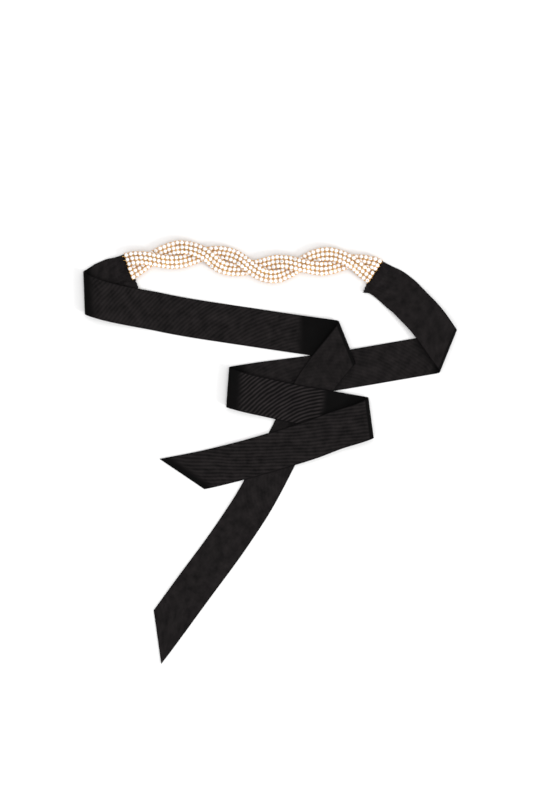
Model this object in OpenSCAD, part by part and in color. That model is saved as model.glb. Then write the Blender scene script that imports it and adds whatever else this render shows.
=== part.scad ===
// Headband with a twisted crystal band and two ribbon ties, laid out flat with the ribbons folded.
// X runs along the band, Y points away from the ribbons' free ends, and Z is up from the table.
// The origin is on the table, under the middle of the whole piece.

/* [Layout] */
// Length of the crystal band along its middle, from seam to seam; the laid-out ribbons spread with it
band_len = 257; // [215:1:310]
// Extra length of each ribbon past its last bend
extra_tail = 0; // [-40:1:60]

/* [Ribbon] */
// Width of the ribbon
ribbon_w = 38; // [30:1:44]
// Thickness of the ribbon cloth
ribbon_t = 0.5; // [0.3:0.05:0.6]
// Height of the soft loop at each fold, from cloth to cloth
loop_h = 6; // [5:0.25:9]
// Length of the doubled hem at the sewn end
hem_len = 10; // [6:0.5:14]
// Length over which the gathered cloth opens out to its full width
gather_len = 30; // [20:1:36]
// Slant of the cut across each free end
cut_angle = 45; // [20:1:50]

/* [Crystal band] */
// Distance from one stone to the next along a strand
stone_pitch = 4.4; // [4.3:0.05:5.5]
// Distance from one row of stones to the next
row_pitch = 4.3; // [4.2:0.05:5.5]
// Diameter of a stone at its girdle
stone_d = 3.45; // [2.8:0.05:3.5]
// Height of a stone from its flat culet to its table
stone_h = 2; // [1.6:0.05:2.2]
// Height of a cup
cup_h = 1.5; // [1.2:0.05:1.7]
// Wall and floor of a cup
cup_wall = 0.15; // [0.1:0.01:0.2]
// Thickness of the linked net that the cups sit on
net_t = 0.4; // [0.3:0.05:0.5]
// Length of bare net that is sewn down at each end of a strand
net_tab = 2.2; // [2:0.1:4]

/* [Thread] */
// Diameter of the sewing thread
thread_d = 0.36; // [0.3:0.02:0.5]
// Height and length of one stitch
stitch_d = 2; // [1.8:0.1:2.4]

/* [Hidden] */
$fn = 48;
rows = 3;
net_gap = 0.1;       // between a cup's floor and the net
strand_gap = 1.1;    // between the stones of the lower strand and the net of the upper one
stone_gap = 0.03;    // between a stone and the cup's wall
layer_gap = 0.5;     // between a ribbon and the one it lies over
seam_gap = 0.3;      // between the hem and the net sewn on it
hem_t = 2 * ribbon_t + 0.2;
hem_inset = 5;       // how far the hem reaches under the band
end_rise = 10;       // length over which a strand rises from its sewn end

/* ---- Curves ---- */
function smooth(f) = f * f * (3 - 2 * f);
function unit(v) = v / norm(v);
function flat(h) = [cos(h), sin(h)];

// Point on a curve that passes through every point of the list p
function through(p, u) =
    let (n = len(p) - 1, i = min(floor(u), n - 1), f = u - i,
         a = p[max(i - 1, 0)], b = p[i], c = p[i + 1], d = p[min(i + 2, n)])
    0.5 * (2 * b + (c - a) * f + (2 * a - 5 * b + 4 * c - d) * f * f
           + (3 * b - a - 3 * c + d) * f * f * f);

/* ---- Route of the band ---- */
base_route = [[-144, 186], [-119, 194.5], [-86, 199.5], [-64, 199.5], [-42, 192.5], [-18, 186],
              [0, 184], [22, 187.5], [50, 192], [79, 192.5], [98, 186], [108, 180.5]];
base_crossings = [27, 81, 129, 178, 229];
route_steps = 24 * (len(base_route) - 1);
base_pts = [for (i = [0 : route_steps]) through(base_route, i / 24)];
base_sum = [for (i = 0, s = 0; i <= route_steps;
                 s = s + (i < route_steps ? norm(base_pts[i + 1] - base_pts[i]) : 0), i = i + 1) s];
base_len = base_sum[route_steps];
lay = band_len / base_len;    // how much wider everything is laid out than the base route
route_turn = [for (i = [0 : route_steps]) [lay * base_sum[i], i / 24]];
function band_at(s) = lay * through(base_route, lookup(s, route_turn));
function band_heading(s) = let (d = band_at(min(s + 1, band_len)) - band_at(max(s - 1, 0))) atan2(d[1], d[0]);

/* ---- The two strands ---- */
strand_w = rows * row_pitch;
top_h = net_t / 2 + net_gap + max(cup_h, cup_wall + stone_h);    // net's middle to the stones' tables
strand_swing = strand_w / 2 + 0.65;
strand_lift = (top_h + net_t / 2 + strand_gap) / 2;
strand_roll = 8;
row_curl = 9;
column_turn = 0.3;   // share of the strand's own heading that its columns turn by
net_low = hem_t + seam_gap + net_t / 2;
band_mid = strand_lift + row_pitch * sin(row_curl) + net_t / 2 + 0.7;
phases = concat([[0, -90]], [for (i = [0 : len(base_crossings) - 1]) [lay * base_crossings[i], 180 * i]],
                [[band_len, 180 * len(base_crossings) - 90]]);
function phase(s) = lookup(s, phases);
// From 0 at the sewn ends to 1 a short way in
function clear_of_ends(s) = smooth(min(1, min(s, band_len - s) / end_rise));

// Middle of strand k, which is 1 or -1, at length s along the band
function strand_at(k, s) =
    let (h = band_heading(s), side = k * strand_swing * sin(phase(s)), free = clear_of_ends(s),
         p = band_at(s) + side * [-sin(h), cos(h)],
         z = net_low + (band_mid - net_low) * free
             - k * strand_lift * cos(phase(s)) * smooth(min(1, 1.6 * free)))
    [p[0], p[1], z];
// Across the strand there, turned and rolled with it, and the way up from it
function strand_axes(k, s) =
    let (a = strand_at(k, max(s - 1, 0)), b = strand_at(k, min(s + 1, band_len)), h = band_heading(s),
         turn = column_turn * (atan2(b[1] - a[1], b[0] - a[0]) - h),
         roll = strand_roll * sin(2 * phase(s)) * clear_of_ends(s),
         across = [-sin(h + turn) * cos(roll), cos(h + turn) * cos(roll), sin(roll)])
    [across, unit(cross(b - a, across))];
// Point of strand k at length s, e across it and n above the net's middle, with the outer rows curled down
function on_strand(k, s, e, n) =
    let (x = strand_axes(k, s), half = row_pitch / 2, over = max(0, abs(e) - half),
         q = row_curl * clear_of_ends(s), tilt = over > 0 ? q * sign(e) : 0)
    strand_at(k, s) + x[0] * (sign(e) * (min(abs(e), half) + over * cos(q)) + n * sin(tilt))
    + x[1] * (n * cos(tilt) - over * sin(q));

// Each strand's own length from the left seam, paired with the length along the band
function strand_table(k) =
    let (pts = [for (i = [0 : route_steps]) strand_at(k, band_len * i / route_steps)])
    [for (i = 0, l = 0; i <= route_steps;
          l = l + (i < route_steps ? norm(pts[i + 1] - pts[i]) : 0), i = i + 1)
        [l, band_len * i / route_steps]];
first_table = strand_table(1);
second_table = strand_table(-1);
function table(k) = k == 1 ? first_table : second_table;
function strand_len(k) = table(k)[route_steps][0];
function along(k, l) = lookup(l, table(k));
columns = floor((min(strand_len(1), strand_len(-1)) - 2 * net_tab) / stone_pitch);
function column_at(k, i) = along(k, strand_len(k) / 2 + (i - (columns - 1) / 2) * stone_pitch);

// Puts a stone or a cup at column i of row j, standing square on the net under it
module on_column(k, i, j) {
    s = column_at(k, i);
    e = j * row_pitch;
    ahead = unit(on_strand(k, s + 1, e, 0) - on_strand(k, s - 1, e, 0));
    across = on_strand(k, s, e + 1, 0) - on_strand(k, s, e - 1, 0);
    up = unit(cross(ahead, across));
    side = cross(up, ahead);
    p = on_strand(k, s, e, 0) + up * (net_t / 2 + net_gap);
    multmatrix([[ahead[0], side[0], up[0], p[0]],
                [ahead[1], side[1], up[1], p[1]],
                [ahead[2], side[2], up[2], p[2]],
                [0, 0, 0, 1]])
        children();
}

/* ---- Ribbon routes ---- */
// Each run is a list of places [x, y, heading, height of the underside]. Between two runs the cloth folds
// over on itself (1), under itself (-1), or goes straight on (0).
over_1 = ribbon_t + layer_gap;
over_2 = 2 * over_1 + 0.4;
over_3 = 3 * over_1 + 0.4;
left_runs = [
    [[-139.5, 188, 205, 0], [-182, 163.5, 207, 0]],
    [[-182, 161, -23, loop_h], [-108, 141.5, -12, 0.4], [-30, 128.5, -8.5, 0],
     [34, 119, -8, over_1], [73.5, 113.5, -8, over_1]],
    [[73.5, 113.5, 232, over_1 + loop_h], [44, 67, 239, over_1 + 0.2], [17, 14, 242, 0],
     [-22, -58, 237, 0]],
    [[-22, -58, 237, 0], [-60, -112.5, 233, 0], [-112, -183, 233, 0]]];
left_folds = [1, 1, 0];
right_runs = [
    [[103.5, 182.8, -27, 0], [123, 168, -40, 1], [149, 142.2, -45, 4], [176.5, 106.3, -53, loop_h]],
    [[174.3, 101, 188.9, 0], [66, 82.8, 188.9, 0], [-38.5, 68, 190.5, 0]],
    [[-38.5, 68, -19, loop_h], [8, 54, -13, over_2 + 0.6], [66, 43, -10, over_2], [98, 37.5, -10, 0]],
    [[98, 37.5, 205, loop_h], [62, 22, 201, over_3 + 0.7], [38, 13, 198, over_3],
     [4, 2.5, 196.5, over_1 + 0.2], [-24, -5.5, 195, over_1], [-56, -13.5, 193, 0], [-87.5, -20, 191, 0]]];
right_folds = [-1, 1, 1];

loop_r = loop_h / 2;
ring_step = 7;       // longest way between two cross-sections of a ribbon
turn_step = 18;      // degrees between two cross-sections round a loop
slant_len = 58;      // length over which the cloth's cross-lines turn to lie along a fold

// A run's places, spread with the layout, and the last one carried on by the extra tail
function place(p) = [lay * p[0], lay * p[1], p[2], p[3]];
function longer(p, d) = [p[0] + d * cos(p[2]), p[1] + d * sin(p[2]), p[2], p[3]];
function xy(p) = [p[0], p[1]];
function side_of(folds, k) = k == 0 ? 1 : side_of(folds, k - 1) * (folds[k - 1] == 0 ? 1 : -1);
function in_heading(runs, k) = runs[k][len(runs[k]) - 1][2];
function out_heading(runs, k) = runs[k + 1][0][2];
// Directions of the fold after run k: along the crease and out past it
function crease(runs, k) = unit(flat(in_heading(runs, k)) + flat(out_heading(runs, k)));
function past(runs, k) = let (t = flat(in_heading(runs, k)), c = crease(runs, k)) unit(t - (t * c) * c);
// How far run k's first edge lies ahead of its middle at crease j, as a share of the half width
function slant(runs, folds, k, j) =
    let (t = flat(j == k ? in_heading(runs, k) : out_heading(runs, j)),
         n = [-t[1], t[0]] * side_of(folds, k), c = crease(runs, j))
    (c * t) / (c * n);
// The cloth creeps along the crease as it goes round the loop
function creep(runs, folds, k) =
    folds[k] == 0 ? [0, 0]
    : let (t = flat(in_heading(runs, k)), c = crease(runs, k), e = past(runs, k))
      PI * loop_r * (t * c) / (t * e) * c;

function run_places(runs, folds, k) =
    let (p = [for (q = runs[k]) place(q)], last = len(p) - 1,
         before = k == 0 ? undef : place(runs[k - 1][len(runs[k - 1]) - 1]),
         start = k == 0 ? xy(p[0]) : xy(before) + creep(runs, folds, k - 1))
    [for (i = [0 : last])
        i == 0 ? [start[0], start[1], p[0][2], p[0][3]]
        : i == last && k == len(runs) - 1 ? longer(p[i], extra_tail) : p[i]];

function legs(p) = [for (i = [0 : len(p) - 2]) norm(xy(p[i + 1]) - xy(p[i]))];
function total(v, n) = n <= 0 ? 0 : v[n - 1] + total(v, n - 1);

// Middle of the cloth between places a and b, and its direction
function leg_at(a, b, f) =
    let (d = norm(xy(b) - xy(a)), ta = d * flat(a[2]), tb = d * flat(b[2]))
    (2 * f * f * f - 3 * f * f + 1) * xy(a) + (f * f * f - 2 * f * f + f) * ta
    + (3 * f * f - 2 * f * f * f) * xy(b) + (f * f * f - f * f) * tb;
function leg_dir(a, b, f) =
    let (d = norm(xy(b) - xy(a)), ta = d * flat(a[2]), tb = d * flat(b[2]))
    unit((6 * f * f - 6 * f) * xy(a) + (3 * f * f - 4 * f + 1) * ta
         + (6 * f - 6 * f * f) * xy(b) + (3 * f * f - 2 * f) * tb);

// Width and thickness of the cloth at length d from its sewn end
function width_at(d) = let (f = (d - hem_len) / gather_len)
    2 * strand_w + (ribbon_w - 2 * strand_w) * smooth(max(0, min(1, f)));
function thick_at(d) = hem_t + (ribbon_t - hem_t) * smooth(max(0, min(1, (d - hem_len) / 5)));

// One cross-section of the cloth: its middle, the way it runs, the half line to its first edge, its thickness
function run_rings(runs, folds, k) =
    let (p = run_places(runs, folds, k), d = legs(p), all = total(d, len(d)), side = side_of(folds, k),
         last = k == len(runs) - 1,
         from = k == 0 || folds[k - 1] == 0 ? 0 : slant(runs, folds, k, k - 1),
         to = last ? tan(cut_angle) : folds[k] == 0 ? 0 : slant(runs, folds, k, k))
    [for (i = [0 : len(d) - 1])
        let (n = max(1, ceil(d[i] / ring_step)), skip = i == 0 ? 0 : 1)
        for (j = [skip : n])
            let (f = j / n, s = total(d, i) + f * d[i], c = leg_at(p[i], p[i + 1], f),
                 t = leg_dir(p[i], p[i + 1], f),
                 z = p[i][3] + (p[i + 1][3] - p[i][3]) * smooth(f),
                 dz = (p[i + 1][3] - p[i][3]) * 6 * f * (1 - f) / d[i],
                 lean = from * smooth(max(0, 1 - s / slant_len))
                        + to * smooth(max(0, 1 - (all - s) / slant_len)),
                 w = k == 0 ? width_at(s) : ribbon_w, th = k == 0 ? thick_at(s) : ribbon_t,
                 r = (side * [-t[1], t[0]] + lean * t) * w / 2)
            [[c[0], c[1], z + th / 2], [t[0], t[1], dz], [r[0], r[1], 0], th]];
// Cross-sections round the loop after run k, from angle a0 to a1 of its half turn
function loop_rings(runs, folds, k, a0, a1) =
    let (p = run_places(runs, folds, k), q = p[len(p) - 1], up = folds[k],
         t = flat(in_heading(runs, k)), c = crease(runs, k), e = past(runs, k),
         te = t * e, tc = t * c, n = [-t[1], t[0]] * side_of(folds, k),
         r = c / (c * n) * ribbon_w / 2)
    [for (a = [a0 : turn_step : a1])
        let (g = xy(q) + e * loop_r * sin(a) + c * loop_r * a * PI / 180 * tc / te)
        [[g[0], g[1], q[3] + ribbon_t / 2 + up * loop_r * (1 - cos(a))],
         [te * cos(a) * e[0] + tc * c[0], te * cos(a) * e[1] + tc * c[1], te * up * sin(a)],
         [r[0], r[1], 0], ribbon_t]];

function corners(ring) =
    let (n = unit(cross(ring[1], ring[2])) * ring[3] / 2)
    [ring[0] + ring[2] + n, ring[0] - ring[2] + n, ring[0] - ring[2] - n, ring[0] + ring[2] - n];

// Two triangles between steps i and i + 1 of a flat section of m corners: first half on top, the rest below
function cap(m, i) = [[i, m - 2 - i, i + 1], [i, m - 1 - i, m - 2 - i]];
// Closed skin over cross-sections of m corners each
module skin(sections) {
    m = len(sections[0]);
    n = len(sections);
    polyhedron(
        points = [for (s = sections) each s],
        faces = concat(
            [for (i = [0 : m / 2 - 2]) each cap(m, i)],
            [for (i = [0 : m / 2 - 2]) for (f = cap(m, i)) [for (j = [2 : -1 : 0]) (n - 1) * m + f[j]]],
            [for (i = [0 : n - 2]) for (j = [0 : m - 1])
                [i * m + j, i * m + (j + 1) % m, (i + 1) * m + (j + 1) % m]],
            [for (i = [0 : n - 2]) for (j = [0 : m - 1])
                [i * m + j, (i + 1) * m + (j + 1) % m, (i + 1) * m + j]]));
}

function without_first(v) = [for (i = [1 : len(v) - 1]) v[i]];
module cloth(rings) color([0.09, 0.085, 0.09]) skin([for (r = rings) corners(r)]);

left_main = concat(
    run_rings(left_runs, left_folds, 0),
    without_first(loop_rings(left_runs, left_folds, 0, 0, 180)),
    without_first(run_rings(left_runs, left_folds, 1)),
    without_first(loop_rings(left_runs, left_folds, 1, 0, 180)),
    without_first(run_rings(left_runs, left_folds, 2)));
left_end = run_rings(left_runs, left_folds, 3);
right_main = concat(
    run_rings(right_runs, right_folds, 0),
    without_first(loop_rings(right_runs, right_folds, 0, 0, 180)),
    without_first(run_rings(right_runs, right_folds, 1)),
    without_first(loop_rings(right_runs, right_folds, 1, 0, 180)),
    without_first(run_rings(right_runs, right_folds, 2)),
    without_first(loop_rings(right_runs, right_folds, 2, 0, 90)));
right_end = concat(
    loop_rings(right_runs, right_folds, 2, 90, 180),
    without_first(run_rings(right_runs, right_folds, 3)));

/* ---- Where the middle of the piece is ---- */
function net_section(k, s) =
    let (e = strand_w / 2, m = row_pitch / 2, t = net_t / 2)
    [on_strand(k, s, e, t), on_strand(k, s, m, t), on_strand(k, s, -m, t), on_strand(k, s, -e, t),
     on_strand(k, s, -e, -t), on_strand(k, s, -m, -t), on_strand(k, s, m, -t), on_strand(k, s, e, -t)];
function net_sections(k) =
    [for (i = [0 : columns]) net_section(k, along(k, strand_len(k) * i / columns))];
outline = concat(
    [for (r = concat(left_main, left_end, right_main, right_end)) each corners(r)],
    [for (k = [1, -1]) for (s = net_sections(k)) each s]);
function middle(i) = let (v = [for (p = outline) p[i]]) (min(v) + max(v)) / 2;
centre = [middle(0), middle(1), 0];

/* ---- Pieces ---- */

module strand_net(k) color([0.8, 0.6, 0.3]) skin(net_sections(k));

module cup() {
    difference() {
        cylinder(h = cup_h, d = stone_d + 2 * stone_gap + 2 * cup_wall);
        translate([0, 0, cup_wall]) cylinder(h = cup_h, d = stone_d + 2 * stone_gap);
    }
}

module cup_row(k, j) color([0.86, 0.64, 0.3]) for (i = [0 : columns - 1]) on_column(k, i, j) cup();

// Turned profile of a stone: flat culet, pavilion, girdle, crown and table
module stone() {
    r = stone_d / 2;
    translate([0, 0, cup_wall])
        rotate_extrude()
            polygon([[0, 0], [0.3 * r, 0], [r, 0.55 * stone_h], [r, 0.65 * stone_h], [0.6 * r, stone_h],
                     [0, stone_h]]);
}

module stone_row(k, j) color([0.95, 0.97, 1]) for (i = [0 : columns - 1]) on_column(k, i, j) stone();

// One ring of thread over the end of each row, through the net's tab and the hem
module stitches(s) {
    color([0.07, 0.07, 0.07])
        for (k = [1, -1]) for (j = [-1 : 1]) {
            p = on_strand(k, s, j * row_pitch, 0);
            translate([p[0], p[1], hem_t])
                rotate([90, 0, band_heading(s)])
                    rotate_extrude() translate([stitch_d / 2, 0]) circle(d = thread_d, $fn = 16);
        }
}

module laid_out() translate(-centre) children();

laid_out() strand_net(1);  // first_strand_net
laid_out() cup_row(1, 1);  // first_strand_cups_1
laid_out() cup_row(1, 0);  // first_strand_cups_2
laid_out() cup_row(1, -1);  // first_strand_cups_3
laid_out() stone_row(1, 1);  // first_strand_stones_1
laid_out() stone_row(1, 0);  // first_strand_stones_2
laid_out() stone_row(1, -1);  // first_strand_stones_3
laid_out() strand_net(-1);  // second_strand_net
laid_out() cup_row(-1, 1);  // second_strand_cups_1
laid_out() cup_row(-1, 0);  // second_strand_cups_2
laid_out() cup_row(-1, -1);  // second_strand_cups_3
laid_out() stone_row(-1, 1);  // second_strand_stones_1
laid_out() stone_row(-1, 0);  // second_strand_stones_2
laid_out() stone_row(-1, -1);  // second_strand_stones_3
laid_out() stitches(0);  // left_stitches
laid_out() stitches(band_len);  // right_stitches
laid_out() cloth(left_main);  // left_ribbon
laid_out() cloth(left_end);  // left_ribbon_tail
laid_out() cloth(right_main);  // right_ribbon
laid_out() cloth(right_end);  // right_ribbon_tail
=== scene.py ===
import math
import bpy
import numpy as np
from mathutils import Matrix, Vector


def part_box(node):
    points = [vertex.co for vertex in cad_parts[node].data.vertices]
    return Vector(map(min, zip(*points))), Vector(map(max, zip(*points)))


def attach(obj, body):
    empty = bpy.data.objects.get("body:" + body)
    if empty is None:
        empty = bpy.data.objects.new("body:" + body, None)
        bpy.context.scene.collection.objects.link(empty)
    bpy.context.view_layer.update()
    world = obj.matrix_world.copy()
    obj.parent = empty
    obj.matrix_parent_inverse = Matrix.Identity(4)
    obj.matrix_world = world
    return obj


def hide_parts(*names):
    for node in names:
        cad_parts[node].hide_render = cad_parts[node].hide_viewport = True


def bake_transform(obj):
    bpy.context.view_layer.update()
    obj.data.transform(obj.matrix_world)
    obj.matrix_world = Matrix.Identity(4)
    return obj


# Tie-on headband: two strands of cup-set stones twisted round each other, sewn to two folded satin ribbons.
# Shapes are worked out in millimetres and go into the meshes in metres.

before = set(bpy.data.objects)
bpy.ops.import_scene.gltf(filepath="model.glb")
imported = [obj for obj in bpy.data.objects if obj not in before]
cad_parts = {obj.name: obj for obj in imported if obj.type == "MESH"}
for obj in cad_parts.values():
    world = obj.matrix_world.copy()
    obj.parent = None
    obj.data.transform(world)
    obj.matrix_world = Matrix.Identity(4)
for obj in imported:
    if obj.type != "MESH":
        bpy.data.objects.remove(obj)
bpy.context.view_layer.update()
mm = 0.001
rootBody = "headband"
print("frame loaded:", len(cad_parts), "nodes")


class Value:
    # One socket of a node tree, so that sums and products of it can be written as plain expressions
    def __init__(self, mat, socket):
        self.mat = mat
        self.socket = socket

    def math(self, operation, *others):
        node = self.mat.tree.nodes.new("ShaderNodeMath")
        node.operation = operation
        for slot, item in zip(node.inputs, (self,) + others):
            self.mat.feed(slot, item)
        return Value(self.mat, node.outputs[0])

    def __add__(self, other):
        return self.math("ADD", other)

    def __sub__(self, other):
        return self.math("SUBTRACT", other)

    def __mul__(self, other):
        return self.math("MULTIPLY", other)

    __radd__ = __add__
    __rmul__ = __mul__

    def __rsub__(self, other):
        return self * -1.0 + other

    def sin(self):
        return self.math("SINE")

    def abs(self):
        return self.math("ABSOLUTE")

    def clamp(self):
        return self.math("MAXIMUM", 0.0).math("MINIMUM", 1.0)

    def wave(self, period):
        # 0 to 1 and back in each period
        return (self * (2.0 * math.pi / period)).sin() * 0.5 + 0.5

    def between(self, low, high):
        # 0 at low, 1 at high, straight between
        return ((self - low) * (1.0 / (high - low))).clamp()


class Finish:
    # A material with its tree, and one way to add any node to it
    def __init__(self, name):
        self.material = bpy.data.materials.new(name)
        self.material.use_nodes = True
        self.tree = self.material.node_tree
        self.shader = self.tree.nodes["Principled BSDF"]

    def feed(self, slot, item):
        if isinstance(item, Value):
            self.tree.links.new(item.socket, slot)
        else:
            slot.default_value = item

    def node(self, kind, settings=None, inputs=None, output=0):
        made = self.tree.nodes.new("ShaderNode" + kind)
        for key, setting in (settings or {}).items():
            setattr(made, key, setting)
        for key, item in (inputs or {}).items():
            self.feed(made.inputs[key], item)
        return Value(self, made.outputs[output])

    def noise(self, place, scale, detail=3.0, rough=0.55):
        inputs = {"Vector": place, "Scale": scale, "Detail": detail, "Roughness": rough}
        return self.node("TexNoise", {}, inputs)

    def part(self, place, axis):
        return self.node("SeparateXYZ", {}, {"Vector": place}, axis)

    def read(self, name):
        # A number that the mesh holds
        return self.node("Attribute", {"attribute_name": name}, output=2)

    def blend(self, factor, first, second):
        made = self.tree.nodes.new("ShaderNodeMix")
        made.data_type = "RGBA"
        self.feed(made.inputs[0], factor)
        for slot, colour in ((made.inputs[6], first), (made.inputs[7], second)):
            self.feed(slot, colour if isinstance(colour, Value) else (*colour, 1.0))
        return Value(self, made.outputs[2])

    def objectPlace(self):
        return self.node("TexCoord", output=3)

    def bump(self, height, strength, distance):
        return self.node("Bump", {}, {"Height": height, "Strength": strength, "Distance": distance})

    def set(self, **sockets):
        for key, item in sockets.items():
            self.feed(self.shader.inputs[key.replace("_", " ")], item)
        return self.material


satin = {
    "dark": (0.0016, 0.0013, 0.0014),
    "light": (0.0360, 0.0300, 0.0305),
    "edge": (0.0012, 0.0010, 0.0011),
    # The fold colour is painted shade: the cloth is darkened to it by the folds and where it tilts away from
    # the light
    "fold": (0.0007, 0.0006, 0.0006),
    "ribPitch": 0.42,        # one woven rib across the ribbon
    "ribStray": 0.6016,
    "warpPitch": 0.714,
    "waterPitch": 3.4,       # soft watered lines
    "waterStray": 4.5,       # how far they wander off their arcs
    "selvage": 1.1,
    "paintedShadeEnd": 9.0,         # how soon the painted shade by a fold dies out
    "paintedShadeDepth": 0.92,
    "edgeDepth": 0.85,
    "roughness": 0.46,
    "relief": 0.00012,
}


def makeSatin(spec, width):
    # Fine ribs across the cloth, watered lines in arcs, a painted shade by the folds and where the cloth
    # tilts away from the light, and darker selvages. The tone is a sum: the watered lines, shown as painted
    # sheen where the cloth catches the light, a broad cloud, the ribs and the fibres.
    f = Finish("satin")
    uv = f.node("UVMap", {"uv_map": "cloth"})
    along, across = f.part(uv, 0), f.part(uv, 1)
    drift = f.noise(uv, 0.035, 2.0, 0.5)
    cloud = f.noise(uv, 0.11, 4.0, 0.6)
    fibre = f.noise(uv, 2.6, 2.0, 0.7)
    # Read from the mesh: how deep the painted shade of a fold is, how strong the painted sheen is, and the
    # arc field
    near, paintedSheen, field = f.read("fold"), f.read("paintedSheen"), f.read("field")
    rib = (along + drift * spec["ribStray"]).wave(spec["ribPitch"])
    warp = across.wave(spec["warpPitch"])
    watered = (field + drift * spec["waterStray"]).wave(spec["waterPitch"])
    edge = across.abs().between(width / 2 - spec["selvage"], width / 2 - 0.3 * spec["selvage"])
    # The watered lines are a pattern of the cloth, and their strength is painted sheen, stronger where the
    # cloth catches the light
    tone = ((watered - 0.5) * paintedSheen * 0.85 + cloud * 0.70 + rib * 0.04 + fibre * 0.26 - 0.30).clamp()
    # Painted shade: by the folds the woven tone blends towards the dark fold colour
    woven = f.blend(near * spec["paintedShadeDepth"], f.blend(tone, spec["dark"], spec["light"]), spec["fold"])
    height = rib * 0.55 + warp * 0.25 + fibre * 0.35 + watered * 0.25 + edge * 0.8
    return f.set(
        Base_Color=f.blend(edge * spec["edgeDepth"], woven, spec["edge"]),
        Roughness=spec["roughness"] + fibre * 0.10 + near * 0.12 + edge * 0.12,
        Normal=f.bump(height, 0.35, spec["relief"]),
        Specular_IOR_Level=0.05,
    )


gold = {
    "bright": (0.96, 0.60, 0.21),
    "deep": (0.66, 0.31, 0.07),
    "roughness": 0.24,
    "relief": 0.00006,
}


def makeGold(spec):
    # Plated brass: cast grain, slightly tarnished in patches
    f = Finish("goldPlate")
    place = f.objectPlace()
    patches = f.noise(place, 260.0, 4.0)
    grain = f.noise(place, 2400.0, 3.0)
    worn = (patches * 1.5 - 0.35).clamp()
    return f.set(
        Base_Color=f.blend(worn, spec["deep"], spec["bright"]),
        Metallic=1.0,
        Roughness=spec["roughness"] + grain * 0.16 + (1 - worn) * 0.08,
        Normal=f.bump(grain * 0.6 + patches * 0.4, 0.25, spec["relief"]),
    )


crystal = {
    # The flash and shade colours are painted reflection and painted shade for the facets
    "paintedFlash": (0.96, 0.95, 0.945),
    "shade": (0.44, 0.42, 0.40),
    "warm": (0.93, 0.84, 0.70),
    "roughness": 0.05,
    "index": 1.56,
}


def makeCrystal(spec):
    # Clear cut glass on a mirrored back. Each facet's share of the light is painted into its colour, as
    # painted reflection, from a painted white flash to a painted grey shade.
    f = Finish("crystal")
    facetGlint = f.read("facetGlint")
    speck = f.noise(f.objectPlace(), 900.0, 2.0)
    # Painted reflection: each facet is painted between the grey and the white by its glint value
    glow = f.blend((facetGlint * 1.35 + 0.02).clamp(), spec["shade"], spec["paintedFlash"])
    tinted = f.blend((speck - 0.52).clamp() * 1.6, glow, spec["warm"])
    return f.set(
        Base_Color=tinted,
        Roughness=spec["roughness"] + (1 - facetGlint) * 0.05,
        Normal=f.bump(speck, 0.04, 0.00005),
        IOR=spec["index"],
        Specular_IOR_Level=0.75,
        Coat_Weight=0.6,
        Coat_Roughness=0.02,
    )


thread = {
    "dark": (0.004, 0.004, 0.004),
    "light": (0.022, 0.020, 0.020),
    "plyPitch": 0.0002992,      # metres from ply to ply
    "plySlant": 1.4,
    "relief": 0.00005,
}


def makeThread(spec):
    # Twisted black thread: its plies are slanting waves
    f = Finish("thread")
    place = f.objectPlace()
    ply = (f.part(place, 0) + f.part(place, 1) + f.part(place, 2) * spec["plySlant"]).wave(spec["plyPitch"])
    fuzz = f.noise(place, 5000.0, 2.0)
    return f.set(
        Base_Color=f.blend((ply * 0.6 + fuzz * 0.5).clamp(), spec["dark"], spec["light"]),
        Roughness=0.62 + fuzz * 0.15,
        Normal=f.bump(ply, 0.5, spec["relief"]),
    )


def makePaper(spec):
    # The pale sheet that the piece lies on
    f = Finish("paleFloor")
    tooth = f.noise(f.objectPlace(), 420.0, 3.0)
    return f.set(
        Base_Color=f.blend(tooth, spec["floorDark"], spec["floorLight"]),
        Roughness=0.85,
        Specular_IOR_Level=0.1,
    )


def makePiece(name, points, faces, material, uv=None, facetGlint=None, shades=None, smooth=True):
    # Points are rows in millimetres, and faces a list of arrays, one for each number of corners. A facet
    # glint value, painted reflection, belongs to a face, and shades hold one value for each point.
    rows = [face for group in faces for face in np.asarray(group).tolist()]
    mesh = bpy.data.meshes.new(name)
    mesh.from_pydata((np.asarray(points, float) * mm).tolist(), [], rows)
    mesh.polygons.foreach_set("use_smooth", np.full(len(mesh.polygons), smooth))
    if uv is not None:
        corner = np.zeros(len(mesh.loops), np.int32)
        mesh.loops.foreach_get("vertex_index", corner)
        mesh.uv_layers.new(name="cloth").data.foreach_set("uv", uv[corner].astype(np.float32).ravel())
    if facetGlint is not None:
        mesh.attributes.new("facetGlint", "FLOAT", "FACE").data.foreach_set("value", facetGlint.astype(np.float32))
    for shade, values in (shades or {}).items():
        mesh.attributes.new(shade, "FLOAT", "POINT").data.foreach_set("value", values.astype(np.float32))
    mesh.materials.append(material)
    mesh.update()
    piece = bpy.data.objects.new(name, mesh)
    bpy.context.scene.collection.objects.link(piece)
    return piece


def repeatShape(points, faces, origins, axes):
    # Copies of one small shape: a copy is its origin plus the shape's x, y and z along the copy's own axes
    moved = origins[:, None, :] + np.einsum("pa,cad->cpd", points, axes)
    shifts = np.arange(len(origins)) * len(points)
    groups = []
    for group in faces:
        groups.append((np.asarray(group)[None] + shifts[:, None, None]).reshape(-1, len(group[0])))
    return moved.reshape(-1, 3), groups


def smoothStep(f):
    f = np.clip(f, 0, 1)
    return f * f * (3 - 2 * f)


def unit(v):
    return v / np.linalg.norm(v, axis=-1, keepdims=True)


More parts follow.
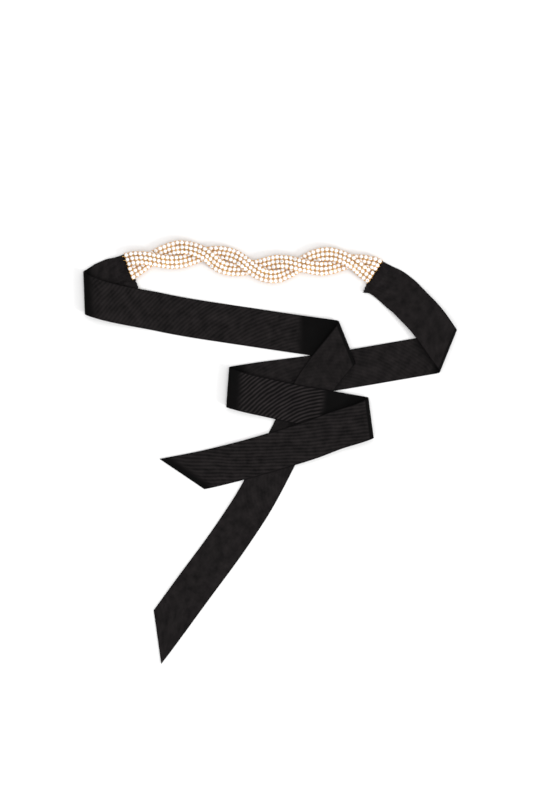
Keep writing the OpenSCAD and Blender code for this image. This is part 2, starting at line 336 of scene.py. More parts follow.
# The twisted band: lengths in millimetres, angles in degrees
band = {
    "length": 257.0,
    "rows": 3,
    "rowPitch": 4.3,
    "stonePitch": 4.4,
    "netThick": 0.4,
    "netGap": 0.1,
    "stoneTop": 2.15,        # height of a stone's table over the net's top
    "strandGap": 1.1,
    "floorGap": 0.7,
    "extraSwing": 0.65,      # how far a strand swings out past half its width
    "roll": 8.0,
    "curl": 9.0,
    "turnShare": 0.3,
    "endRise": 10.0,         # length over which a strand leaves the hem
    "quickRise": 1.6,        # and how much sooner the strands part in height
    "hemThick": 1.2,
    "seamGap": 0.3,
    "tab": 2.2,
    "eyeInset": 0.4,         # how far inside the net's end its last eye stands
    "looseness": 0.055,      # how far cups lean on the net, as a slope
    "play": 0.09,            # how far they sit off their place
    "routeGrain": 24,        # steps between two places of the route
    "route": [[-144, 186], [-119, 194.5], [-86, 199.5], [-64, 199.5], [-42, 192.5], [-18, 186],
              [0, 184], [22, 187.5], [50, 192], [79, 192.5], [98, 186], [108, 180.5]],
    "crossings": [27, 81, 129, 178, 229],
}


def through(places, u):
    # A cubic between each pair of places, with its slopes from the places on both sides (Catmull-Rom)
    last = len(places) - 1
    i = np.minimum(np.floor(u).astype(int), last - 1)
    f = (u - i)[..., None]
    a, b, c = places[np.maximum(i - 1, 0)], places[i], places[i + 1]
    d = places[np.minimum(i + 2, last)]
    bow, twist = 2 * a - 5 * b + 4 * c - d, 3 * b - a - 3 * c + d
    return 0.5 * (2 * b + (c - a) * f + bow * f ** 2 + twist * f ** 3)


routePlaces = np.array(band["route"], float)
routeSteps = band["routeGrain"] * (len(routePlaces) - 1)
routeTurn = np.arange(routeSteps + 1) / band["routeGrain"]
routePoints = through(routePlaces, routeTurn)
routeSum = np.concatenate([[0], np.cumsum(np.linalg.norm(np.diff(routePoints, axis=0), axis=1))])
spread = band["length"] / routeSum[-1]     # how much wider everything lies than the base route
strandWidth = band["rows"] * band["rowPitch"]
netLow = band["hemThick"] + band["seamGap"] + band["netThick"] / 2
lift = (band["netThick"] + band["netGap"] + band["stoneTop"] + band["strandGap"]) / 2
netDip = band["rowPitch"] * math.sin(math.radians(band["curl"]))
netMid = lift + netDip + band["netThick"] / 2 + band["floorGap"]
phasePlaces = [0] + [spread * c for c in band["crossings"]] + [band["length"]]
phaseAngles = [-90] + [180 * i for i in range(len(band["crossings"]))] + [180 * len(band["crossings"]) - 90]


def bandAt(s):
    return spread * through(routePlaces, np.interp(s, spread * routeSum, routeTurn))


def bandHeading(s):
    d = bandAt(np.minimum(s + 1, band["length"])) - bandAt(np.maximum(s - 1, 0))
    return np.arctan2(d[..., 1], d[..., 0])


def phase(s):
    return np.radians(np.interp(s, phasePlaces, phaseAngles))


def clearOfEnds(s):
    return smoothStep(np.minimum(s, band["length"] - s) / band["endRise"])


def strandAt(k, s):
    # Middle line of strand k: a sine to the side of the route, and a cosine up and down from it
    h = bandHeading(s)
    side = k * (strandWidth / 2 + band["extraSwing"]) * np.sin(phase(s))
    free = clearOfEnds(s)
    place = bandAt(s) + side[..., None] * np.stack([-np.sin(h), np.cos(h)], -1)
    apart = lift * smoothStep(band["quickRise"] * free)
    z = netLow + (netMid - netLow) * free - k * apart * np.cos(phase(s))
    return np.concatenate([place, z[..., None]], -1)


def onStrand(k, s, e, n):
    # Point e across and n above the net of strand k, with the outer rows curled down by a few degrees
    a, b = strandAt(k, np.maximum(s - 1, 0)), strandAt(k, np.minimum(s + 1, band["length"]))
    h = bandHeading(s)
    turn = band["turnShare"] * (np.arctan2(b[..., 1] - a[..., 1], b[..., 0] - a[..., 0]) - h)
    roll = np.radians(band["roll"]) * np.sin(2 * phase(s)) * clearOfEnds(s)
    across = np.stack([-np.sin(h + turn) * np.cos(roll), np.cos(h + turn) * np.cos(roll), np.sin(roll)], -1)
    up = unit(np.cross(b - a, across))
    half = band["rowPitch"] / 2
    over = np.maximum(0, np.abs(e) - half)
    q = np.radians(band["curl"]) * clearOfEnds(s)
    tilt = np.where(over > 0, q * np.sign(e), 0)
    out = np.sign(e) * (np.minimum(np.abs(e), half) + over * np.cos(q)) + n * np.sin(tilt)
    rise = n * np.cos(tilt) - over * np.sin(q)
    return strandAt(k, s) + across * out[..., None] + up * rise[..., None]


def ownLength(k):
    # Each strand's own length at even steps along the band
    s = band["length"] * np.arange(routeSteps + 1) / routeSteps
    return s, np.concatenate([[0], np.cumsum(np.linalg.norm(np.diff(strandAt(k, s), axis=0), axis=1))])


strandTables = {k: ownLength(k) for k in (1, -1)}
shortest = min(table[1][-1] for table in strandTables.values())
columnCount = int((shortest - 2 * band["tab"]) // band["stonePitch"])


def columnAt(k, i):
    s, own = strandTables[k]
    return np.interp(own[-1] / 2 + (i - (columnCount - 1) / 2) * band["stonePitch"], own, s)


def seats(k, row):
    # Where each cup of a row stands: its place on the net and its axes ahead, sideways and up, a bit astray
    s = columnAt(k, np.arange(columnCount))
    e = np.full(columnCount, row * band["rowPitch"])
    flatNet = np.zeros(columnCount)
    ahead = unit(onStrand(k, s + 1, e, flatNet) - onStrand(k, s - 1, e, flatNet))
    across = onStrand(k, s, e + 1, flatNet) - onStrand(k, s, e - 1, flatNet)
    up = unit(np.cross(ahead, across))
    side = np.cross(up, ahead)
    base = onStrand(k, s, e, flatNet) + up * (band["netThick"] / 2 + band["netGap"])
    rng = np.random.default_rng(100 + 10 * k + row)
    axes = np.stack([ahead, side, up], axis=1)
    lean = rng.normal(0, band["looseness"], (columnCount, 1, 3))
    nudge = rng.normal(0, band["play"], (columnCount, 3)) * np.array([1, 1, 0.3])
    return base + shift + nudge, unit(axes + np.cross(lean, axes))


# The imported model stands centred: its first net gives the way from the route's own places to the frame
netSections, netOwn = strandTables[1]
netStations = np.interp(netOwn[-1] * np.arange(columnCount + 1) / columnCount, netOwn, netSections)
netRim = np.concatenate([
    onStrand(1, netStations, np.full(columnCount + 1, e), np.full(columnCount + 1, n))
    for e in (-strandWidth / 2, strandWidth / 2) for n in (-band["netThick"] / 2, band["netThick"] / 2)])
netBoxLow, netBoxHigh = (np.array(corner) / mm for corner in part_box("first_strand_net"))
shift = (netBoxLow + netBoxHigh) / 2 - (netRim.min(0) + netRim.max(0)) / 2
shift[2] = 0.0
print("shift to the frame, mm:", shift.round(3))

stone = {
    "radius": 1.98,
    "tableShare": 0.56,
    "starShare": 0.80,
    "tableTop": 2.15,
    "starTop": 1.93,
    "girdleTop": 1.52,
    "girdleLow": 1.36,
    "culet": 0.25,
    "facetLight": 0.80,      # painted reflection: how much light the facets are painted to return, and how unevenly
    "facetSpread": 0.24,
}


def stoneShape(spec):
    # Brilliant cut: rings of 8 at the table and the stars, 16 at the girdle, and one point at the culet
    r = spec["radius"]
    eight, sixteen = np.arange(8) * math.pi / 4, np.arange(16) * math.pi / 8

    def ring(angles, radius, z):
        return np.stack([radius * np.cos(angles), radius * np.sin(angles), np.full(len(angles), z)], -1)

    points = np.concatenate([
        ring(eight, spec["tableShare"] * r, spec["tableTop"]),
        ring(eight + math.pi / 8, spec["starShare"] * r, spec["starTop"]),
        ring(sixteen, r, spec["girdleTop"]),
        ring(sixteen, r, spec["girdleLow"]),
        [[0, 0, spec["culet"]]]])
    i, j = np.arange(8), np.arange(16)
    n, m = (i + 1) % 8, (j + 1) % 16
    table = [list(range(8))]
    stars = np.stack([i, i + 8, n], -1)
    kites = np.stack([i, 8 + (i - 1) % 8, 16 + 2 * i, 8 + i], -1)
    halves = np.concatenate([np.stack([8 + i, 16 + 2 * i, 17 + 2 * i], -1),
                             np.stack([8 + i, 17 + 2 * i, 16 + 2 * n], -1)])
    girdle = np.stack([16 + j, 32 + j, 32 + m, 16 + m], -1)
    pavilion = np.stack([32 + j, np.full(16, 48), 32 + m], -1)
    return points, [np.concatenate([stars, halves, pavilion]), np.concatenate([kites, girdle]), table]


cup = {
    "radius": 2.10,
    "wall": 0.16,
    "height": 1.42,
    "sides": 12,
    "footShare": 0.86,       # the foot's radius as a share of the wall's
    "footRise": 0.30,
    "floorTop": 0.45,
    "clawReach": 2.42,       # from the cup's middle to a claw's
    "clawRadius": 0.58,
    "clawLow": 0.25,
    "clawTop": 1.84,
    "clawTip": 2.08,
    "clawLean": 0.34,        # how far a claw's tip leans in over the stone
    "clawTaper": 0.3,        # and the share of that which its post has
    "clawSides": 5,
}


def cupShape(spec):
    # Round wall with a floor, and four claws at its corners: each is a five-sided post with a leaning tip
    a = np.arange(spec["sides"]) * 2 * math.pi / spec["sides"]
    wheel = np.stack([np.cos(a), np.sin(a)], -1)
    inner = spec["radius"] - spec["wall"]
    rings = [(spec["radius"] * spec["footShare"], 0.0), (spec["radius"], spec["footRise"]),
             (spec["radius"], spec["height"]), (inner, spec["height"]), (inner, spec["floorTop"])]
    points = [np.column_stack([r * wheel, np.full(len(a), z)]) for r, z in rings]
    j = np.arange(spec["sides"])
    m = (j + 1) % spec["sides"]
    quads = [np.stack([j + i * len(a), m + i * len(a), m + (i + 1) * len(a), j + (i + 1) * len(a)], -1)
             for i in range(len(rings) - 1)]
    discs = [list(range(len(a)))[::-1], [(len(rings) - 1) * len(a) + i for i in range(len(a))]]
    corners = spec["clawSides"]
    post = np.arange(corners) * 2 * math.pi / corners
    fans = []
    start = len(rings) * len(a)
    for q in range(4):
        d = math.pi / 4 + q * math.pi / 2
        out, r = np.array([math.cos(d), math.sin(d)]), spec["clawRadius"]
        spokes = np.stack([np.cos(post + d), np.sin(post + d)], -1)
        low = out * spec["clawReach"] + spokes * r
        high = out * (spec["clawReach"] - spec["clawTaper"] * spec["clawLean"]) + spokes * r
        points += [np.column_stack([low, np.full(corners, spec["clawLow"])]),
                   np.column_stack([high, np.full(corners, spec["clawTop"])]),
                   [[*(out * (spec["clawReach"] - spec["clawLean"])), spec["clawTip"]]]]
        k = np.arange(corners)
        n = (k + 1) % corners
        quads.append(start + np.stack([k, n, n + corners, k + corners], -1))
        fans += [start + np.stack([k + corners, n + corners, np.full(corners, 2 * corners)], -1),
                 start + np.array([[0, i + 1, i] for i in range(1, corners - 1)])]
        start += 2 * corners + 1
    return np.concatenate(points), [np.concatenate(quads), np.concatenate(fans), discs]


link = {
    "width": 1.0,
    "thick": 0.34,
    "waistLength": 0.44,     # shares of the link's length and of its width
    "waistWidth": 0.60,
}


def barShape(spec, length):
    # A flat link that narrows in its middle: four cross-sections of four corners, closed at both ends
    x = np.array([-1, -spec["waistLength"], spec["waistLength"], 1]) * length / 2
    w = np.array([1, spec["waistWidth"], spec["waistWidth"], 1]) * spec["width"] / 2
    t = spec["thick"] / 2
    points = np.concatenate([[[a, -b, -t], [a, b, -t], [a, b, t], [a, -b, t]] for a, b in zip(x, w)])
    c = np.arange(4)
    n = (c + 1) % 4
    sides = [np.stack([c + 4 * i, c + 4 * i + 4, n + 4 * i + 4, n + 4 * i], -1) for i in range(3)]
    return points, [np.concatenate(sides + [[[0, 1, 2, 3], [15, 14, 13, 12]]])]


def makeNet(k):
    # Links along each row, and links across between the rows under every cup; the last ones end in the hem
    knots = columnAt(k, np.arange(columnCount))
    places = np.concatenate([[band["eyeInset"]], knots, [band["length"] - band["eyeInset"]]])
    starts, ends, ups = [], [], []

    def netLine(e, n):
        return onStrand(k, places, np.full(len(places), e), np.full(len(places), float(n)))

    flatRows = [row * band["rowPitch"] for row in (-1, 0, 1)]
    for e in flatRows:
        line, over = netLine(e, 0), netLine(e, 1)
        starts.append(line[:-1])
        ends.append(line[1:])
        ups.append((over - line)[:-1])
    for e in flatRows[:-1]:
        low, high = netLine(e, 0), netLine(e + band["rowPitch"], 0)
        over = netLine(e + band["rowPitch"] / 2, 1)
        starts.append(low)
        ends.append(high)
        ups.append(over - (low + high) / 2)
    a, b, up = (np.concatenate(v) for v in (starts, ends, ups))
    ahead = b - a
    side = unit(np.cross(up, ahead))
    points, faces = barShape(link, 1.0)
    axes = np.stack([ahead, side, unit(np.cross(ahead, side))], axis=1)
    return repeatShape(points, faces, (a + b) / 2 + shift, axes)


strandNames = {1: "first_strand", -1: "second_strand"}


def makeStrands(goldFinish, crystalFinish):
    rng = np.random.default_rng(7)
    for k, word in strandNames.items():
        points, faces = makeNet(k)
        net = makePiece(word + "_links", points, faces, goldFinish, smooth=False)
        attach(net, rootBody)
        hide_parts(word + "_net")
        for number, row in enumerate((1, 0, -1), start=1):
            origins, axes = seats(k, row)
            points, faces = repeatShape(*cupShape(cup), origins, axes)
            cups = makePiece(f"{word}_claw_cups_{number}", points, faces, goldFinish, smooth=False)
            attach(cups, rootBody)
            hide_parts(f"{word}_cups_{number}")
            spin = rng.uniform(0, math.pi / 4, columnCount)
            turned = np.stack([axes[:, 0] * np.cos(spin)[:, None] + axes[:, 1] * np.sin(spin)[:, None],
                               axes[:, 1] * np.cos(spin)[:, None] - axes[:, 0] * np.sin(spin)[:, None],
                               axes[:, 2]], axis=1)
            points, faces = repeatShape(*stoneShape(stone), origins, turned)
            faceCount = sum(len(group) for group in faces)
            # A random painted glint for each facet, as painted reflection
            facetGlints = np.clip(rng.normal(stone["facetLight"], stone["facetSpread"], faceCount), 0, 1)
            name = f"{word}_cut_stones_{number}"
            stones = makePiece(name, points, faces, crystalFinish, facetGlint=facetGlints, smooth=False)
            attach(stones, rootBody)
            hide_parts(f"{word}_stones_{number}")
        print(word, "set with", 3 * columnCount, "stones")


ribbon = {
    "width": 38.0,
    "thick": 0.5,
    "loopHeight": 6.0,
    "hemLength": 10.0,
    "gatherLength": 30.0,
    "cutAngle": 45.0,
    "slantLength": 58.0,
    "layerGap": 0.5,
    "step": 1.5,             # between two cross-sections on the flat
    "turnStep": 7.5,         # degrees between two round a loop
    "wave": 0.16,            # soft unevenness of cloth that lies flat
    "pleat": 0.85,
    "pleats": 6.5,
    "thinLength": 5.0,       # length over which the doubled hem thins out
    "rim": 1.4,              # width of the finer mesh at each edge
    "slack": 0.4,            # looser lie where layers are stacked
}
over1 = ribbon["thick"] + ribbon["layerGap"]
over2 = 2 * over1 + ribbon["slack"]
over3 = 3 * over1 + ribbon["slack"]
loop = ribbon["loopHeight"]

# Each run is a list of places: x, y, heading in degrees, height of the underside. A fold of 1 turns the
# cloth up over itself, -1 under itself, and 0 goes straight on. The shade reach is how far the painted shade
# of a fold reaches into a run from its start and from its end, and the sheen is how strongly the watered
# lines show on it, as painted sheen where the cloth catches the light.
leftRibbon = {
    "runs": [
        [[-139.5, 188, 205, 0], [-182, 163.5, 207, 0]],
        [[-182, 161, -23, loop], [-108, 141.5, -12, 0.4], [-30, 128.5, -8.5, 0],
         [34, 119, -8, over1], [73.5, 113.5, -8, over1]],
        [[73.5, 113.5, 232, over1 + loop], [44, 67, 239, over1 + 0.2], [17, 14, 242, 0], [-22, -58, 237, 0]],
        [[-22, -58, 237, 0], [-60, -112.5, 233, 0], [-112, -183, 233, 0]]],
    "folds": [1, 1, 0],
    "paintedShadeReach": [(0, 10), (10, 48), (0, 0), (0, 0)],
    "paintedSheen": [0.0, 0.20, 0.05, 0.0],
    "tuftSide": 1,
}
rightRibbon = {
    "runs": [
        [[103.5, 182.8, -27, 0], [123, 168, -40, 1], [149, 142.2, -45, 4], [176.5, 106.3, -53, loop]],
        [[174.3, 101, 188.9, 0], [66, 82.8, 188.9, 0], [-38.5, 68, 190.5, 0]],
        [[-38.5, 68, -19, loop], [8, 54, -13, over2 + 0.6], [66, 43, -10, over2], [98, 37.5, -10, 0]],
        [[98, 37.5, 205, loop], [62, 22, 201, over3 + 0.7], [38, 13, 198, over3],
         [4, 2.5, 196.5, over1 + 0.2], [-24, -5.5, 195, over1], [-56, -13.5, 193, 0], [-87.5, -20, 191, 0]]],
    "folds": [-1, 1, 1],
    "paintedShadeReach": [(0, 0), (9, 18), (14, 50), (0, 14)],
    "paintedSheen": [0.0, 0.10, 0.75, 0.26],
    "tuftSide": -1,
}


def flat(degrees):
    return np.array([math.cos(math.radians(degrees)), math.sin(math.radians(degrees))])


def sideways(t):
    return np.stack([-t[..., 1], t[..., 0]], -1)


def sideOf(folds, k):
    return (-1) ** sum(1 for fold in folds[:k] if fold != 0)


def foldAxes(runs, k):
    # Directions in and out of fold k, along its crease, and out past the crease
    inward, outward = flat(runs[k][-1][2]), flat(runs[k + 1][0][2])
    crease = unit(inward + outward)
    past = unit(inward - (inward @ crease) * crease)
    return inward, outward, crease, past


def slant(spec, k, j):
    # How far the first edge lies ahead of the middle at fold j, for the cloth of run k, as a share of half
    # its width
    inward, outward, crease, _ = foldAxes(spec["runs"], j)
    t = inward if j == k else outward
    return (crease @ t) / (crease @ (sideways(t) * sideOf(spec["folds"], k)))


def widthAt(d):
    # Gathered to the band's width in the hem, and eased out to the ribbon's own
    gathered = 2 * strandWidth
    eased = smoothStep((d - ribbon["hemLength"]) / ribbon["gatherLength"])
    return gathered + (ribbon["width"] - gathered) * eased


def thickAt(d):
    # Doubled in the hem
    eased = smoothStep((d - ribbon["hemLength"]) / ribbon["thinLength"])
    return band["hemThick"] + (ribbon["thick"] - band["hemThick"]) * eased


def runRings(spec, k):
    # Cross-sections of run k: each leg is a Hermite curve between two places, and its height eases between
    # theirs. A ring is its middle, the way the cloth runs, the half line to its first edge, its thickness,
    # how deep the painted shade of a fold is on it, and its painted sheen.
    runs, folds = spec["runs"], spec["folds"]
    places = [[spread * p[0], spread * p[1], p[2], p[3]] for p in runs[k]]
    if k > 0:
        before = spread * np.array(runs[k - 1][-1][:2])
        if folds[k - 1] != 0:
            inward, _, crease, past = foldAxes(runs, k - 1)
            before = before + math.pi * loop / 2 * (inward @ crease) / (inward @ past) * crease
        places[0][:2] = before.tolist()
    ends = [np.array(p[:2]) for p in places]
    sizes = [np.linalg.norm(b - a) for a, b in zip(ends, ends[1:])]
    side = sideOf(folds, k)
    isLast = k == len(runs) - 1
    startLean = 0 if k == 0 or folds[k - 1] == 0 else slant(spec, k, k - 1)
    if isLast:
        endLean = math.tan(math.radians(ribbon["cutAngle"]))
    else:
        endLean = 0 if folds[k] == 0 else slant(spec, k, k)
    rings = []
    for i, d in enumerate(sizes):
        f = np.linspace(0, 1, max(2, math.ceil(d / ribbon["step"]) + 1))
        f = f if i == 0 and k == 0 else f[1:]
        f = f[:, None]
        a, b = places[i], places[i + 1]
        pa, pb, ta, tb = ends[i], ends[i + 1], d * flat(a[2]), d * flat(b[2])
        middle = ((2 * f ** 3 - 3 * f ** 2 + 1) * pa + (f ** 3 - 2 * f ** 2 + f) * ta
                  + (3 * f ** 2 - 2 * f ** 3) * pb + (f ** 3 - f ** 2) * tb)
        t = unit((6 * f ** 2 - 6 * f) * pa + (3 * f ** 2 - 4 * f + 1) * ta
                 + (6 * f - 6 * f ** 2) * pb + (3 * f ** 2 - 2 * f) * tb)
        s = sum(sizes[:i]) + f * d
        lean = (startLean * smoothStep(1 - s / ribbon["slantLength"])
                + endLean * smoothStep(1 - (sum(sizes) - s) / ribbon["slantLength"]))
        width = widthAt(s) if k == 0 else np.full_like(s, ribbon["width"])
        thick = thickAt(s) if k == 0 else np.full_like(s, ribbon["thick"])
        z = a[3] + (b[3] - a[3]) * smoothStep(f) + thick / 2
        climb = (b[3] - a[3]) * 6 * f * (1 - f) / d
        half = (side * sideways(t) + lean * t) * width / 2
        # Painted shade by the folds, and painted sheen that fades under that shade
        first, last = spec["paintedShadeReach"][k]
        near = np.maximum(smoothStep((first - s) / satin["paintedShadeEnd"]),
                          smoothStep((last - sum(sizes) + s) / satin["paintedShadeEnd"]))
        paintedSheen = np.full_like(s, spec["paintedSheen"][k]) * (1 - near)
        rings.append(np.hstack([middle, z, t, climb, half, np.zeros_like(z), thick, near, paintedSheen]))
    return np.concatenate(rings)


def loopRings(spec, k, first, last):
    # Cross-sections round the half turn of fold k, from one angle to another: out past the crease by
    # r sin a, up or down by r (1 - cos a), and along the crease by r a times the lean of the cloth
    inward, _, crease, past = foldAxes(spec["runs"], k)
    up, radius = spec["folds"][k], loop / 2
    x, y, _, low = spec["runs"][k][-1]
    te, tc = inward @ past, inward @ crease
    steps = round((last - first) / ribbon["turnStep"])
    a = np.radians(np.linspace(first, last, steps + 1))
    a = a[1 if first == 0 else 0:, None]
    ground = spread * np.array([x, y]) + past * radius * np.sin(a) + crease * radius * a * tc / te
    z = low + ribbon["thick"] / 2 + up * radius * (1 - np.cos(a))
    run = te * np.cos(a) * past + tc * crease
    across = sideways(inward) * sideOf(spec["folds"], k)
    half = np.tile(crease / (crease @ across) * ribbon["width"] / 2, (len(a), 1))
    # Round a loop the cloth takes the full painted shade and no painted sheen
    fixed = np.tile([0.0, ribbon["thick"], 1.0, 0.0], (len(a), 1))
    return np.hstack([ground, z, run, te * up * np.sin(a), half, fixed])


def clothShape(rings, tuftSide=0, waveSeed=0.0, startAt=0.0, arcCentre=(60.0, -31.0)):
    # A thin closed skin round the rings: a point is the ring's middle plus v times its half line, plus half
    # the thickness along the normal, rounded off and a little thicker at both selvages. Soft waves, and at
    # the sewn end pleats that die out, lift it.
    middle, run, half, thick = rings[:, 0:3], rings[:, 3:6], rings[:, 6:9], rings[:, 9]
    s = startAt + np.concatenate([[0], np.cumsum(np.linalg.norm(np.diff(middle, axis=0), axis=1))])
    far = s[:, None]
    halfWidth = np.linalg.norm(half - np.sum(half * unit(run), 1, keepdims=True) * unit(run), axis=1)
    normal = unit(np.cross(run, half))
    bead = ribbon["thick"] / 2
    w = ribbon["width"] / 2
    inside = np.linspace(ribbon["rim"] - w, w - ribbon["rim"], 29)
    rim = w - np.array([1.0, 0.5, 0.6 * bead, 0.25 * bead, 0.06 * bead])
    v = np.concatenate([[-w], -rim[::-1], inside, rim, [w]]) / w
    gap = (1 - np.abs(v)) * w
    rounding = np.sqrt(np.clip(1 - np.clip((bead - gap) / bead, 0, 1) ** 2, 0, 1))
    fat = rounding * (1 + 0.22 * smoothStep((1.1 - gap) / 0.6))
    wave = ribbon["wave"] * (np.sin(0.055 * far + 1.7 * v + waveSeed)
                             + 0.5 * np.sin(0.13 * far - 2.3 * v + 2 * waveSeed))
    offset = (wave + 1.5 * ribbon["wave"]) * smoothStep((far - 20) / 20)
    if tuftSide:
        reach = smoothStep((far - 6) / 6) * smoothStep(1 - (far - 8) / 34)
        folds = np.sin(math.pi * ribbon["pleats"] * (v + 0.10 * np.sin(far / 7)) + 0.6)
        small = 0.35 * np.sin(math.pi * 2.3 * ribbon["pleats"] * v + far / 5)
        puff = np.maximum(0, 0.75 + folds + small)
        lower = smoothStep(0.2 + tuftSide * v)
        offset = offset + ribbon["pleat"] * reach * puff * (0.55 + 0.7 * lower)
    # The normal times its own z always points up, so the cloth is only ever lifted
    raised = normal[:, None] * (offset * normal[:, 2:3])[..., None]
    lifted = middle[:, None] + half[:, None] * v[:, None] + raised
    if tuftSide:
        lifted = addTuft(lifted, s, v, run, half, tuftSide)
    skin = normal[:, None] * (fat * thick[:, None] / 2)[..., None]
    count = len(v)
    back = np.arange(count - 2, 0, -1)
    points = np.concatenate([lifted + skin, (lifted - skin)[:, back]], axis=1)
    around = points.shape[1]
    uvAcross = halfWidth[:, None] * v
    uv = np.stack([np.repeat(far, around, 1), np.concatenate([uvAcross, uvAcross[:, back]], 1)], -1)
    i, j = np.meshgrid(np.arange(len(s) - 1), np.arange(around), indexing="ij")
    here, there, n = i * around, (i + 1) * around, (j + 1) % around
    quads = np.stack([here + j, here + n, there + n, there + j], -1).reshape(-1, 4)
    c = np.arange(1, count - 2)

    def mirror(q):
        return 2 * (count - 1) - q

    cap = np.stack([c, mirror(c), mirror(c + 1), c + 1], -1)
    tips = np.array([[0, mirror(1), 1], [count - 1, count - 2, mirror(count - 2)]])
    last = (len(s) - 1) * around
    faces = [np.concatenate([quads, cap, last + cap[:, ::-1]]), np.concatenate([tips, last + tips[:, ::-1]])]
    # The watered lines are arcs about one far-off point. The fold value is the painted shade by the folds,
    # and the sheen value is the painted sheen
    shades = {
        "fold": np.repeat(rings[:, 10], around),
        "paintedSheen": np.repeat(rings[:, 11], around),
        "field": np.linalg.norm(points[..., :2] - spread * np.array(arcCentre), axis=-1).ravel(),
    }
    return points.reshape(-1, 3) + shift, faces, uv.reshape(-1, 2), shades


tuft = {
    "spare": 9.0,            # cloth is gathered on the band's side only: its lower edge stays this wide
    "spareLength": 46.0,
    "upper": 2.6,            # how much sooner the upper edge opens out
    "reach": 1.6,            # how far the bunched corner stands out past that
    "forward": -0.6,         # how far it comes forward beside the band; below 0 it hangs back
    "length": 11.5,
    "height": 1.7,
    "ragged": 0.9,
}


def addTuft(places, s, v, run, half, tuftSide):
    # Spare cloth at the sewn end is bunched beside the band: its corner is pushed out, raised and crumpled
    far = s[:, None]
    near = smoothStep(1 - far / tuft["length"])
    corner = smoothStep((tuftSide * v - 0.42) / 0.34) * near
    crumple = np.sin(23 * v + far * 0.9) * 0.5 + np.sin(41 * v - far * 1.7) * 0.35
    out = unit(half)[:, None] * tuftSide
    back = unit(run)[:, None]
    ragged = tuft["ragged"] * np.sin(37 * v + 1.3) * smoothStep(1 - far / 5)
    fading = smoothStep(1 - far / tuft["spareLength"])
    spare = tuft["spare"] * fading * smoothStep(0.5 + 0.5 * tuftSide * v)
    opening = tuft["upper"] * np.exp(-((far - 19) / 11) ** 2) * smoothStep(0.5 - 0.5 * tuftSide * v)
    places = places + out * spare[..., None] - out * opening[..., None]
    moved = places + out * (corner * tuft["reach"] * (1 + 0.18 * crumple))[..., None]
    moved = moved - back * (corner * tuft["forward"] * (1 + 0.3 * crumple) + ragged * 0.5)[..., None]
    moved[..., 2] += corner * tuft["height"] * (0.6 + 0.5 * crumple)
    return moved


hemFold = {
    "front": 3.1,            # from the cloth's sewn end to the folded edge that covers the net's tabs
    "back": 14.6,
    "rise": 1.25,            # how far it stands up over the tabs
    "thick": 0.35,
    "ruffle": 0.45,
    "jag": 0.55,
    "clearance": 0.12,
    "overhang": 1.015,       # its width as a share of the hem's
}


def hemFoldShape(rings, seed):
    # The upper ply of the hem, turned down over the tabs: a strip that slopes up from the cloth to its front
    # edge, which runs in and out between the stones as a sum of three sines, with small gathers across it
    middle, run, half, thick = rings[:, 0:3], rings[:, 3:6], rings[:, 6:9], rings[:, 9]
    s = np.concatenate([[0], np.cumsum(np.linalg.norm(np.diff(middle, axis=0), axis=1))])
    a = np.linspace(0, 1, 22)[:, None]
    v = np.linspace(-1, 1, 121)[None]
    jag = np.sin(19.5 * v + seed) + 0.6 * np.sin(43 * v + 2 * seed) + 0.4 * np.sin(71 * v)
    place = hemFold["front"] + (hemFold["back"] - hemFold["front"]) * a
    place = place + hemFold["jag"] * jag * (1 - a) ** 2

    def read(column):
        return np.stack([np.interp(place, s, column[:, i]) for i in range(column.shape[1])], -1)

    centre, side, level = read(middle), read(half), np.interp(place, s, thick)
    gathers = (np.sin(31 * v + 3 * a + seed) + 0.7 * np.sin(57 * v - 5 * a)) * (1 - 0.6 * a)
    lifted = centre + side * (v * hemFold["overhang"])[..., None]
    lifted[..., 2] += level / 2 + hemFold["clearance"] + hemFold["rise"] * smoothStep(1 - a * 1.15)
    lifted[..., 2] += np.maximum(0, hemFold["ruffle"] * gathers) * 0.8
    lifted[..., 2] -= smoothStep((np.abs(v) - 0.9) / 0.1) * hemFold["rise"] * 0.6 * (1 - a)
    lower = lifted - np.array([0, 0, hemFold["thick"]])
    rows, columns = lifted.shape[:2]
    points = np.concatenate([lifted.reshape(-1, 3), lower.reshape(-1, 3)])
    i, j = np.meshgrid(np.arange(rows - 1), np.arange(columns - 1), indexing="ij")
    q = (i * columns + j).ravel()
    top = np.stack([q, q + columns, q + columns + 1, q + 1], -1)
    rim = np.concatenate([np.arange(columns), np.arange(2, rows) * columns - 1,
                          rows * columns - 1 - np.arange(columns), np.arange(rows - 2, 0, -1) * columns])
    after = np.roll(rim, -1)
    under = rows * columns
    walls = np.stack([rim, after, after + under, rim + under], -1)
    faces = np.concatenate([top, top[:, ::-1] + under, walls])
    if np.cross(run[0], half[0])[2] < 0:
        faces = faces[:, ::-1]
    across = np.broadcast_to(np.linalg.norm(side, axis=-1) * v, place.shape)
    uv = np.stack([place, across], -1).reshape(-1, 2)
    return points + shift, [faces], np.concatenate([uv, uv])


def makeHemFolds(cloth):
    for word, spec, seed in (("left", leftRibbon, 0.7), ("right", rightRibbon, 2.1)):
        points, faces, uv = hemFoldShape(runRings(spec, 0), seed)
        piece = makePiece(word + "_hem_fold", points, faces, cloth, uv=uv)
        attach(piece, rootBody)
        word + "_satin_ribbon"


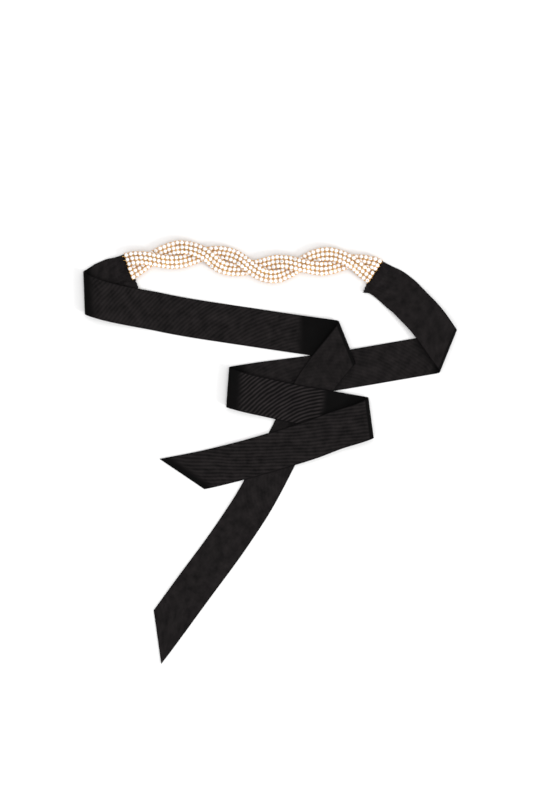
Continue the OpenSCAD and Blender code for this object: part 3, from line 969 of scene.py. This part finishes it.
def makeRibbons(cloth):
    left = np.concatenate([
        runRings(leftRibbon, 0), loopRings(leftRibbon, 0, 0, 180), runRings(leftRibbon, 1),
        loopRings(leftRibbon, 1, 0, 180), runRings(leftRibbon, 2), runRings(leftRibbon, 3)])
    points, faces, uv, shades = clothShape(left, leftRibbon["tuftSide"], 0.4)
    leftPiece = makePiece("left_satin_ribbon", points, faces, cloth, uv=uv, shades=shades)
    leftLength = uv[:, 0].max() * mm

    right = np.concatenate([
        runRings(rightRibbon, 0), loopRings(rightRibbon, 0, 0, 180), runRings(rightRibbon, 1),
        loopRings(rightRibbon, 1, 0, 180), runRings(rightRibbon, 2), loopRings(rightRibbon, 2, 0, 90)])
    points, faces, uv, shades = clothShape(right, rightRibbon["tuftSide"], 1.9)
    rightPiece = makePiece("right_satin_ribbon", points, faces, cloth, uv=uv, shades=shades)
    rightLength = uv[:, 0].max()

    end = np.concatenate([loopRings(rightRibbon, 2, 90, 180), runRings(rightRibbon, 3)])
    points, faces, uv, shades = clothShape(end, 0, 1.9, rightLength, arcCentre=(-20.0, 900.0))
    endPiece = makePiece("right_satin_end", points, faces, cloth, uv=uv, shades=shades)
    endLength = uv[:, 0].max() - rightLength

    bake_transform(leftPiece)
    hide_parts("left_ribbon", "left_ribbon_tail")
    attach(rightPiece, rootBody)
    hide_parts("right_ribbon")
    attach(endPiece, "right_tail")
    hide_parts("right_ribbon_tail")
    rightLength * mm
    endLength * mm
    print("ribbons, m:", round(leftLength, 3), round((rightLength + endLength) * mm, 3))


satinFinish = makeSatin(satin, ribbon["width"])
goldFinish = makeGold(gold)
crystalFinish = makeCrystal(crystal)
threadFinish = makeThread(thread)
makeStrands(goldFinish, crystalFinish)
makeRibbons(satinFinish)
makeHemFolds(satinFinish)
for name in ("left_stitches", "right_stitches"):
    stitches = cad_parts[name]
    stitches.data.materials.clear()
    stitches.data.materials.append(threadFinish)
print("stitches and finishes set")


studio = {
    "floorSide": 6.0,
    "floorDrop": 0.0002,
    "floorDark": (0.905, 0.902, 0.902),
    "floorLight": (0.925, 0.922, 0.922),
    "skyStrength": 0.93,
    "keyPlace": (4.0, -2.2, 1.9),      # low, from the right and a little below, for long faint shadows
    "keySize": 1.1,
    "keyEnergy": 115.0,
    "topPlace": (0.5, -0.4, 2.9),
    "topSize": 2.2,
    "topEnergy": 17.0,
    "viewWidth": 0.5351,     # how wide a strip of the floor the view shows
    "viewAim": (0.0, 0.0472),
    "viewHeight": 2.2,
    "aspect": 1.5,
    "sensor": 36.0,
}


def makeLamp(name, place, size, energy):
    lamp = bpy.data.lights.new(name, "AREA")
    lamp.size = size
    lamp.energy = energy
    holder = bpy.data.objects.new(name, lamp)
    holder.location = place
    holder.rotation_euler = (-Vector(place)).to_track_quat("-Z", "Y").to_euler()
    bpy.context.scene.collection.objects.link(holder)


def makeStudio(spec):
    side = spec["floorSide"] / 2 / mm
    drop = -spec["floorDrop"] / mm
    corners = [[-side, -side, drop], [side, -side, drop], [side, side, drop], [-side, side, drop]]
    floor = makePiece("floor", corners, [[[0, 1, 2, 3]]], makePaper(spec), smooth=False)
    scene = bpy.context.scene
    world = bpy.data.worlds.new("softSky")
    world.use_nodes = True
    sky = world.node_tree.nodes["Background"]
    sky.inputs["Color"].default_value = (1.0, 1.0, 1.0, 1.0)
    sky.inputs["Strength"].default_value = spec["skyStrength"]
    scene.world = world
    makeLamp("keyLight", spec["keyPlace"], spec["keySize"], spec["keyEnergy"])
    makeLamp("topLight", spec["topPlace"], spec["topSize"], spec["topEnergy"])
    lens = bpy.data.cameras.new("camera")
    lens.sensor_width = spec["sensor"]
    lens.lens = spec["sensor"] * spec["viewHeight"] / (spec["viewWidth"] * spec["aspect"])
    camera = bpy.data.objects.new("camera", lens)
    camera.location = (*spec["viewAim"], spec["viewHeight"])
    scene.collection.objects.link(camera)
    scene.camera = camera
    scene.view_settings.view_transform = "Standard"


makeStudio(studio)
print("studio ready")
